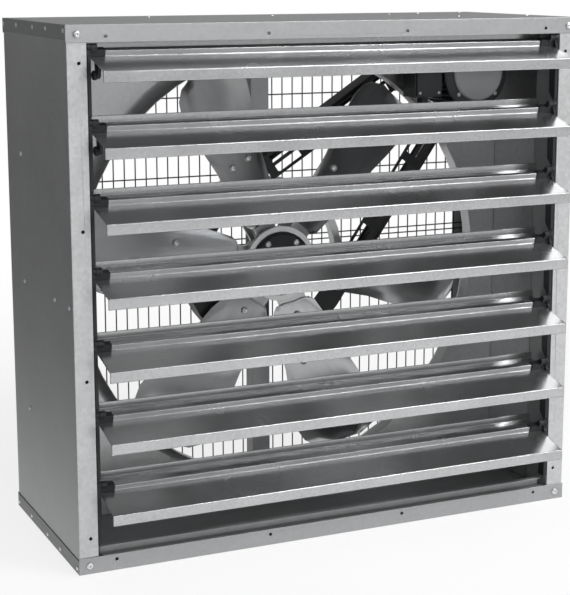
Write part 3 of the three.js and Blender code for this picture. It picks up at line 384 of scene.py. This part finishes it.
def grained(name, tint, grain_mm, depth_mm, contrast, roughness, metallic):
    """A cast, painted or moulded face: an even colour with a slight cloudiness over a fine grain
    that softens its highlights. The grain is drawn coarser than the real one so that it shows."""
    material, tree, place = new_material(name)
    cloud = add_node(
        tree, "ShaderNodeTexNoise", {"Scale": 1 / (45 * MM), "Detail": 3.0}, {"Vector": place}
    )
    tone = add_node(
        tree,
        "ShaderNodeValToRGB",
        {"stops": [(0.3, shade(tint, 1 - contrast)), (0.7, shade(tint, 1 + contrast))]},
        {"Fac": cloud.outputs["Fac"]},
    )
    dull = add_node(
        tree,
        "ShaderNodeMapRange",
        {"To Min": roughness - 0.06, "To Max": roughness + 0.08},
        {"Value": cloud.outputs["Fac"]},
    )
    grit = add_node(
        tree,
        "ShaderNodeTexNoise",
        {"Scale": 1 / (grain_mm * MM), "Detail": 2.0},
        {"Vector": place},
    )
    bump = add_node(
        tree,
        "ShaderNodeBump",
        {"Strength": 0.35, "Distance": depth_mm * MM},
        {"Height": grit.outputs["Fac"]},
    )
    close_material(
        tree,
        {"Metallic": metallic, "Specular IOR Level": 0.3},
        {
            "Base Color": tone.outputs["Color"],
            "Roughness": dull.outputs["Result"],
            "Normal": bump.outputs["Normal"],
        },
    )
    return material


# The finish and the colour of each material, and its numbers: for galvanised sheet the contrast,
# for rolled sheet the grain and the contrast, for a grained face the grain, its depth and the
# contrast, and for all of them roughness and metallic last. Grain and depth are in mm.
FINISHES = {
    # The side pans' sheet is the casing's zinc with a lighter tint, which is painted light for
    # their lit front flanges.
    "zinc casing": (galvanised_sheet, "casing", 0.05, 0.42, 0.6),
    "zinc side": (galvanised_sheet, "side", 0.09, 0.36, 0.8),
    "zinc ring": (galvanised_sheet, "ring", 0.06, 0.34, 0.8),
    "zinc louvre": (rolled_sheet, "louvre", (5, 5, 5), 0.13, 0.25, 0.95),
    "zinc wire": (grained, "wire", 4, 0.1, 0.12, 0.45, 0.7),
    "rolled blade steel": (rolled_sheet, "blade", (90, 5, 90), 0.1, 0.19, 1.0),
    "turned steel": (grained, "bolt", 3, 0.05, 0.06, 0.3, 1.0),
    "zinc-plated fastener": (grained, "bolt", 3, 0.05, 0.1, 0.35, 0.9),
    "sand-cast aluminium": (grained, "cast", 2.5, 0.15, 0.12, 0.34, 0.9),
    "motor enamel": (grained, "motor", 3, 0.25, 0.15, 0.42, 0.0),
    "cover enamel": (grained, "cover", 3, 0.15, 0.05, 0.38, 0.0),
    "glass-filled nylon": (grained, "plastic", 1.5, 0.12, 0.1, 0.45, 0.0),
    "belt rubber": (grained, "rubber", 2, 0.2, 0.15, 0.75, 0.0),
}


def finish_for(name):
    """A material by its name, made once."""
    if name in bpy.data.materials:
        return bpy.data.materials[name]
    maker, tint, *numbers = FINISHES[name]
    return maker(name, getattr(bpy.context.scene.fan_colours, tint), *numbers)


# Making pieces


def finish_node(node, material, edge):
    """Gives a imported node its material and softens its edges. Its mesh stays as packed."""
    shown = NODES[node]
    mesh = shown.data
    mesh.materials.clear()
    mesh.materials.append(finish_for(material))
    if "custom_normal" in mesh.attributes:
        mesh.attributes.remove(mesh.attributes["custom_normal"])
    mesh.polygons.foreach_set("use_smooth", [True] * len(mesh.polygons))
    weld = shown.modifiers.new("weld", "WELD")
    weld.merge_threshold = WELD_DISTANCE * MM
    if edge > 0:
        bevel = shown.modifiers.new("edges", "BEVEL")
        bevel.width = edge
        bevel.segments = 2
        bevel.limit_method = "ANGLE"
        bevel.angle_limit = math.radians(35)
        bevel.use_clamp_overlap = False
    even = shown.modifiers.new("even", "WEIGHTED_NORMAL")
    even.keep_sharp = True


def add_piece(bm, name, body, material, replaces=()):
    """Turns a finished bmesh into a piece that rides on a body."""
    bmesh.ops.recalc_face_normals(bm, faces=bm.faces)
    mesh = bpy.data.meshes.new(name)
    bm.to_mesh(mesh)
    bm.free()
    mesh.materials.append(finish_for(material))
    piece = bpy.data.objects.new(name, mesh)
    bpy.context.scene.collection.objects.link(piece)
    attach(piece, body)
    if replaces:
        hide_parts(*replaces)
    return piece


def facing(at, normal):
    """The matrix that seats something drawn on the XY plane at a point, Z along a normal."""
    turn = Vector(normal).to_track_quat("Z", "Y").to_matrix().to_4x4()
    return Matrix.Translation(Vector(at)) @ turn


def add_turned(bm, seat, profile, sides):
    """A profile of (radius, height) spun about the seat's Z."""
    before = set(bm.verts)
    points = [bm.verts.new(seat @ Vector((r, 0, h))) for r, h in profile]
    edges = [bm.edges.new(pair) for pair in zip(points, points[1:])]
    bmesh.ops.spin(
        bm,
        geom=points + edges,
        cent=seat.translation,
        axis=seat.to_3x3() @ Vector((0, 0, 1)),
        angle=2 * math.pi,
        steps=sides,
        use_merge=True,
    )
    made = [v for v in bm.verts if v not in before]
    bmesh.ops.remove_doubles(bm, verts=made, dist=WELD_DISTANCE * MM)


def add_rivet(bm, at, normal, across):
    """A domed head with the small dimple that a drawn mandrel leaves."""
    half = across / 2
    add_turned(bm, facing(at, normal), [(r * half, h * half) for r, h in RIVET_HEAD], RIVET_SIDES)


def add_pan_screw(bm, at, normal, across):
    """A pan head with a rounded crown and a round socket."""
    half = across / 2
    add_turned(bm, facing(at, normal), [(r * half, h * half) for r, h in PAN_HEAD], PAN_HEAD_SIDES)


def round_the_axis(axis, front, radius_mm, first, count):
    """Places on a circle about an axis, at one depth. The first is in half turns from the right."""
    for i in range(count):
        turn = math.pi * (i * 2 / count + first)
        x = axis.x + radius_mm * MM * math.cos(turn)
        yield x, front, axis.z + radius_mm * MM * math.sin(turn)


def smooth(piece, sharp_from=35):
    for polygon in piece.data.polygons:
        polygon.use_smooth = True
    piece.data.set_sharp_from_angle(angle=math.radians(sharp_from))
    return piece


class FanOperator:
    bl_options = {"REGISTER", "UNDO"}

    def execute(self, context):
        self.make(context.scene.fan_sizes)
        return {"FINISHED"}


class FAN_OT_casing(FanOperator, bpy.types.Operator):
    """Finish the casing's sheets and add their rivets, screws and bolts"""

    bl_idname = "fan.casing"
    bl_label = "Casing"

    def make(self, sizes):
        for node in ("top_panel", "bottom_panel"):
            finish_node(node, "zinc casing", sizes.sheet_edge)
        # The side pans get the same zinc with a lighter tint, painted light for their lit front
        # flanges.
        for node in ("left_side_panel", "right_side_panel"):
            finish_node(node, "zinc side", sizes.sheet_edge)
        finish_node("inlet_ring_panel", "zinc ring", sizes.sheet_edge)
        for node in ("rear_post", "left_bearing_strip", "right_bearing_strip", "louvre_sill"):
            finish_node(node, "zinc casing", sizes.sheet_edge)
        low, high = (Vector(corner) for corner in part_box("top_panel"))
        bottom_low, _ = (Vector(corner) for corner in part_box("bottom_panel"))
        front, back = low.y, high.y

        rivets = bmesh.new()
        inset_x, inset_z = CORNER_SCREW_INSET
        for side in (-1, 1):
            lap_x = side * high.x
            for depth in RIVET_DEPTHS:
                for height in (bottom_low.z + RIVET_INSET * MM, high.z - RIVET_INSET * MM):
                    at = (lap_x, front + depth * MM, height)
                    add_rivet(rivets, at, (side, 0, 0), sizes.rivet)
            for height in (bottom_low.z + inset_z * MM, high.z - inset_z * MM):
                x = side * (high.x - inset_x * MM)
                add_pan_screw(rivets, (x, front, height), (0, -1, 0), sizes.corner_screw)
                add_pan_screw(rivets, (x, back, height), (0, 1, 0), sizes.corner_screw)
        smooth(
            add_piece(
                rivets, "casing_rivets", "casing", "zinc-plated fastener"
            )
        )

        screws = bmesh.new()
        for x, depth in TOP_SCREWS:
            at = (low.x + x * MM, front + depth * MM, high.z - TOP_SCREW_SINK * MM)
            add_pan_screw(screws, at, (0, 0, 1), sizes.screw)
        smooth(
            add_piece(screws, "top_screws", "casing", "zinc-plated fastener")
        )

        bolts = bmesh.new()
        side_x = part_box("left_side_panel")[0][0]
        for side in (-1, 1):
            for depth, height in SIDE_BOLTS:
                at = (-side * side_x, front + depth * MM, height * MM)
                add_pan_screw(bolts, at, (side, 0, 0), sizes.screw)
        smooth(add_piece(bolts, "side_bolts", "casing", "zinc-plated fastener"))


class FAN_OT_inlet_mesh(FanOperator, bpy.types.Operator):
    """Weld the inlet mesh from single wires in place of the coarse solid"""

    bl_idname = "fan.inlet_mesh"
    bl_label = "Inlet mesh"

    def make(self, sizes):
        low, high = (Vector(corner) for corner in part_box("inlet_mesh"))
        half = sizes.wire / 2
        bm = bmesh.new()

        def wire(start, end):
            run = Vector(end) - Vector(start)
            bmesh.ops.create_cone(
                bm,
                cap_ends=True,
                cap_tris=False,
                segments=WIRE_SIDES,
                radius1=half,
                radius2=half,
                depth=run.length,
                matrix=facing(start, run) @ Matrix.Translation((0, 0, run.length / 2)),
            )

        width = high.x - low.x - sizes.wire
        uprights = round(width / sizes.wire_step)
        for i in range(uprights + 1):
            x = low.x + half + width * i / uprights
            y = high.y - half * (3 - WELD_BITE)
            wire((x, y, low.z), (x, y, high.z))
        rise = high.z - low.z - sizes.wire
        rows = round(rise / sizes.row_step)
        heights = [low.z + half + rise * i / rows for i in range(rows + 1)]
        # Two lengths of mesh lap at mid height
        for z in heights + [heights[rows // 2] + lap * LAP_STEP * MM for lap in (1, 2)]:
            wire((low.x, high.y - half, z), (high.x, high.y - half, z))
        smooth(
            add_piece(
                bm, "welded_inlet_mesh", "casing", "zinc wire", ("inlet_mesh",)
            ),
            50,
        )


class FAN_OT_propeller(FanOperator, bpy.types.Operator):
    """Finish the propeller, bolt its blades to their arms and screw its cap on"""

    bl_idname = "fan.propeller"
    bl_label = "Propeller"

    blade_pitch: angle("Seat pitch", "Turn of a blade's seat", 22)
    first_blade: angle("First blade", "Angle of the first blade", -8)
    seat_height: size("Seat height", "From the arm's middle to the blade's front", 5.8)

    def make(self, sizes):
        finish_node("propeller_hub", "sand-cast aluminium", sizes.moulded_edge)
        finish_node("hub_cap", "glass-filled nylon", sizes.moulded_edge)
        for node in BLADES:
            finish_node(node, "rolled blade steel", 0)
        for node in ("front_bearing", "rear_bearing", "spindle"):
            finish_node(node, "turned steel", TURNED_EDGE * MM)
        arm_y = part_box("propeller_hub")[0][1] + ARM_DEPTH * MM
        hub = Matrix.Translation((FAN_AXIS.x, arm_y, FAN_AXIS.z))
        p = self.blade_pitch
        seat = Matrix(
            (
                (1, 0, 0, 0),
                (0, -math.sin(p), -math.cos(p), 0),
                (0, math.cos(p), -math.sin(p), 0),
                (0, 0, 0, 1),
            )
        )
        bolts = bmesh.new()
        for i in range(len(BLADES)):
            turn = self.first_blade + i * math.pi / 3
            arm = hub @ Matrix.Rotation(-turn, 4, "Y") @ seat
            normal = arm.to_3x3() @ Vector((0, 0, 1))
            for along, across in BLADE_BOLTS:
                at = arm @ Vector((along * MM, across * MM, self.seat_height))
                add_pan_screw(bolts, at, normal, sizes.bolt)
        smooth(add_piece(bolts, "blade_bolts", "propeller", "zinc-plated fastener"))
        screws = bmesh.new()
        cap_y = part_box("hub_cap")[0][1]
        for at in round_the_axis(FAN_AXIS, cap_y, CAP_SCREW_CIRCLE, FIRST_CAP_SCREW, CAP_SCREWS):
            add_pan_screw(screws, at, (0, -1, 0), sizes.corner_screw)
        smooth(add_piece(screws, "cap_screws", "propeller", "zinc-plated fastener"))


class FAN_OT_belt_drive(FanOperator, bpy.types.Operator):
    """Finish the pulleys, the belt and the belt guard"""

    bl_idname = "fan.belt_drive"
    bl_label = "Belt drive"

    def make(self, sizes):
        for node in ("driven_pulley", "motor_pulley"):
            finish_node(node, "sand-cast aluminium", sizes.moulded_edge)
        finish_node("drive_belt", "belt rubber", BELT_EDGE * MM)
        finish_node("belt_guard", "glass-filled nylon", sizes.moulded_edge)


class FAN_OT_motor(FanOperator, bpy.types.Operator):
    """Finish the motor and its bracket and add their screws"""

    bl_idname = "fan.motor"
    bl_label = "Motor"

    def make(self, sizes):
        for node in (
            "motor_body",
            "motor_front_shield",
            "motor_rear_shield",
            "terminal_box",
            "terminal_lid",
        ):
            finish_node(node, "motor enamel", sizes.moulded_edge)
        finish_node("motor_front_cover", "cover enamel", sizes.moulded_edge)
        finish_node("cable_gland", "glass-filled nylon", GLAND_EDGE * MM)
        finish_node("motor_shaft", "turned steel", TURNED_EDGE * MM)
        finish_node("motor_bracket", "zinc casing", sizes.sheet_edge)
        screws = bmesh.new()
        face_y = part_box("motor_front_shield")[0][1]
        for at in round_the_axis(
            MOTOR_AXIS, face_y, SHIELD_SCREW_CIRCLE, FIRST_SHIELD_SCREW, SHIELD_SCREWS
        ):
            add_rivet(screws, at, (0, -1, 0), sizes.screw)
        low, high = (Vector(corner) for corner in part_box("terminal_lid"))
        inset = LID_SCREW_INSET * MM
        for x in (low.x + inset, high.x - inset):
            for z in (low.z + inset, high.z - inset):
                add_rivet(screws, (x, low.y, z), (0, -1, 0), sizes.screw * LID_SCREW_SCALE)
        smooth(add_piece(screws, "motor_screws", "casing", "zinc-plated fastener"))


class FAN_OT_louvres(FanOperator, bpy.types.Operator):
    """Finish the louvres, their end pieces and the link bars, and add the two top stops"""

    bl_idname = "fan.louvres"
    bl_label = "Louvres"

    def make(self, sizes):
        for node in LOUVRES:
            finish_node(node, "zinc louvre", sizes.louvre_edge)
        for node in CRANKS + ["left_link_bar", "right_link_bar"]:
            finish_node(node, "glass-filled nylon", CRANK_EDGE * MM)
        for louvre in ("louvre_6", "louvre_7"):
            self.add_stop(louvre)

    def add_stop(self, louvre):
        """A moulded stop: a knob on a plate that hangs from the left end of a louvre's underside"""
        pivot = PIVOTS[int(louvre[-1]) - 1]
        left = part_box(louvre)[0][0]
        x = left + STOP_INSET * MM
        stop = bmesh.new()
        y, z = STOP_KNOB_PLACE
        seat = facing((x, pivot.y + y * MM, pivot.z + z * MM), (-1, 0, 0))
        add_turned(stop, seat, [(r * MM, h * MM) for r, h in STOP_KNOB], STOP_KNOB_SIDES)
        corners = [
            stop.verts.new((x, pivot.y + y * MM, pivot.z + z * MM)) for y, z in STOP_PLATE
        ]
        grown = bmesh.ops.extrude_face_region(stop, geom=[stop.faces.new(corners)])
        moved = [v for v in grown["geom"] if isinstance(v, bmesh.types.BMVert)]
        bmesh.ops.translate(stop, vec=(STOP_PLATE_THICKNESS * MM, 0, 0), verts=moved)
        smooth(add_piece(stop, f"{louvre}_stop", louvre, "glass-filled nylon"))


class FAN_OT_stage(FanOperator, bpy.types.Operator):
    """Set up the camera, the lamps, the world and the floor"""

    bl_idname = "fan.stage"
    bl_label = "Stage"

    lens: FloatProperty(
        name="Lens", description="Focal length of the camera in millimetres", default=95.77
    )

    def make(self, sizes):
        scene = bpy.context.scene
        scene.view_settings.view_transform = "Standard"
        self.add_camera(scene)
        self.add_lamps(scene)
        self.add_world(scene)
        self.add_floor(scene)

    def add_camera(self, scene):
        camera = bpy.data.objects.new("camera", bpy.data.cameras.new("camera"))
        scene.collection.objects.link(camera)
        camera.data.lens = self.lens
        camera.data.sensor_width = 36
        camera.data.shift_x, camera.data.shift_y = CAMERA_SHIFT
        camera.data.clip_end = 50
        camera.location = CAMERA_PLACE
        camera.rotation_euler = (math.radians(90 - CAMERA_DOWN), 0, math.radians(CAMERA_TURN))
        scene.camera = camera

    def add_lamps(self, scene):
        for name, place, width, power in LAMPS:
            lamp = bpy.data.objects.new(name, bpy.data.lights.new(name, "AREA"))
            scene.collection.objects.link(lamp)
            lamp.data.size = width
            lamp.data.energy = power
            lamp.visible_glossy = name == REFLECTED_LAMP
            lamp.location = place
            toward = Vector(LAMP_AIM) - Vector(place)
            lamp.rotation_euler = toward.to_track_quat("-Z", "Y").to_euler()

    def add_world(self, scene):
        """White to the camera. What the sheets reflect and are lit by darkens behind the fan's left
        side, far to its right and overhead, as in a studio with dark flats."""
        world = bpy.data.worlds.new("studio")
        scene.world = world
        world.use_nodes = True
        tree = world.node_tree
        tree.nodes.clear()
        rays = add_node(tree, "ShaderNodeLightPath")
        seen = add_node(
            tree,
            "ShaderNodeMath",
            {"operation": "MAXIMUM"},
            {0: rays.outputs["Is Camera Ray"], 1: rays.outputs["Is Transmission Ray"]},
        )
        way = add_node(tree, "ShaderNodeTexCoord").outputs["Generated"]
        level = add_node(
            tree,
            "ShaderNodeMapRange",
            {"To Min": WORLD_LIGHT, "To Max": WORLD_REFLECTED},
            {"Value": rays.outputs["Is Glossy Ray"]},
        ).outputs["Result"]
        for toward, start, end, left in WORLD_SHADES:
            heading = add_node(
                tree,
                "ShaderNodeVectorMath",
                {"operation": "DOT_PRODUCT", 1: toward},
                {0: way},
            )
            ramp = add_node(
                tree,
                "ShaderNodeMapRange",
                {"From Min": start, "From Max": end, "To Min": 1.0, "To Max": left},
                {"Value": heading.outputs["Value"]},
            )
            level = add_node(
                tree,
                "ShaderNodeMath",
                {"operation": "MULTIPLY"},
                {0: level, 1: ramp.outputs["Result"]},
            ).outputs[0]
        level = add_node(
            tree, "ShaderNodeMath", {"operation": "MAXIMUM"}, {0: level, 1: seen.outputs[0]}
        ).outputs[0]
        sky = add_node(
            tree, "ShaderNodeBackground", {"Color": (1, 1, 1, 1)}, {"Strength": level}
        )
        add_node(tree, "ShaderNodeOutputWorld", links={"Surface": sky.outputs["Background"]})

    def add_floor(self, scene):
        """A white sweep that keeps the fan's shadow. In reflections it falls into shade beyond the
        fan's left side and fades far in front of it."""
        bm = bmesh.new()
        bmesh.ops.create_grid(bm, x_segments=1, y_segments=1, size=FLOOR_SIZE)
        mesh = bpy.data.meshes.new("floor")
        bm.to_mesh(mesh)
        bm.free()
        floor = bpy.data.objects.new("floor", mesh)
        scene.collection.objects.link(floor)
        material, tree, place = new_material("white paper sweep")
        rays = add_node(tree, "ShaderNodeLightPath")
        spot = add_node(tree, "ShaderNodeSeparateXYZ", links={"Vector": place})
        shades = [
            add_node(
                tree,
                "ShaderNodeMapRange",
                {"From Min": start, "From Max": end, "To Min": taken, "To Max": 0.0},
                {"Value": spot.outputs[axis]},
            ).outputs["Result"]
            for axis, start, end, taken in FLOOR_SHADES
        ]
        deeper = add_node(
            tree, "ShaderNodeMath", {"operation": "MAXIMUM"}, {0: shades[0], 1: shades[1]}
        )
        dim = add_node(
            tree,
            "ShaderNodeMath",
            {"operation": "MULTIPLY"},
            {0: rays.outputs["Is Glossy Ray"], 1: deeper.outputs[0]},
        )
        tone = add_node(
            tree, "ShaderNodeMath", {"operation": "SUBTRACT", 0: 1.0}, {1: dim.outputs[0]}
        )
        white = add_node(
            tree, "ShaderNodeMath", {"operation": "MULTIPLY", 1: PAPER_WHITE}, {0: tone.outputs[0]}
        )
        paper = add_node(tree, "ShaderNodeBsdfDiffuse", links={"Color": white.outputs[0]})
        glow = add_node(
            tree,
            "ShaderNodeEmission",
            {"Color": (1, 1, 1, 1)},
            {"Strength": tone.outputs[0]},
        )
        seen = add_node(
            tree,
            "ShaderNodeMath",
            {"operation": "MAXIMUM"},
            {0: rays.outputs["Is Camera Ray"], 1: rays.outputs["Is Glossy Ray"]},
        )
        # Near the fan the sweep shows its shadow, and further off it is plain white
        far = add_node(tree, "ShaderNodeVectorMath", {"operation": "LENGTH"}, {0: place})
        plain = add_node(
            tree,
            "ShaderNodeMapRange",
            {"From Min": PLAIN_START, "From Max": PLAIN_END, "To Min": GLOW_NEAR, "To Max": 1.0},
            {"Value": far.outputs["Value"]},
        )
        share = add_node(
            tree,
            "ShaderNodeMath",
            {"operation": "MULTIPLY"},
            {0: seen.outputs[0], 1: plain.outputs["Result"]},
        )
        mixed = add_node(
            tree,
            "ShaderNodeMixShader",
            links={0: share.outputs[0], 1: paper.outputs["BSDF"], 2: glow.outputs["Emission"]},
        )
        add_node(tree, "ShaderNodeOutputMaterial", links={"Surface": mixed.outputs["Shader"]})
        mesh.materials.append(material)


class FAN_PT_pieces(bpy.types.Panel):
    bl_label = "Wall axial fan"
    bl_idname = "FAN_PT_pieces"
    bl_space_type = "VIEW_3D"
    bl_region_type = "UI"
    bl_category = "Fan"

    def draw(self, context):
        for group in (context.scene.fan_sizes, context.scene.fan_colours):
            column = self.layout.column()
            for name in group.__annotations__:
                column.prop(group, name)
        for operator in OPERATORS:
            self.layout.operator(operator.bl_idname)


OPERATORS = (
    FAN_OT_stage,
    FAN_OT_casing,
    FAN_OT_inlet_mesh,
    FAN_OT_propeller,
    FAN_OT_belt_drive,
    FAN_OT_motor,
    FAN_OT_louvres,
)
CLASSES = (FanColours, FanSizes, *OPERATORS, FAN_PT_pieces)


def register():
    for cls in CLASSES:
        bpy.utils.register_class(cls)
    bpy.types.Scene.fan_colours = PointerProperty(type=FanColours)
    bpy.types.Scene.fan_sizes = PointerProperty(type=FanSizes)


def unregister():
    del bpy.types.Scene.fan_sizes
    del bpy.types.Scene.fan_colours
    for cls in reversed(CLASSES):
        bpy.utils.unregister_class(cls)


def main():
    register()
    for name in ("stage", "casing", "inlet_mesh", "propeller", "belt_drive", "motor", "louvres"):
        getattr(bpy.ops.fan, name)()


if __name__ == "__main__":
    main()
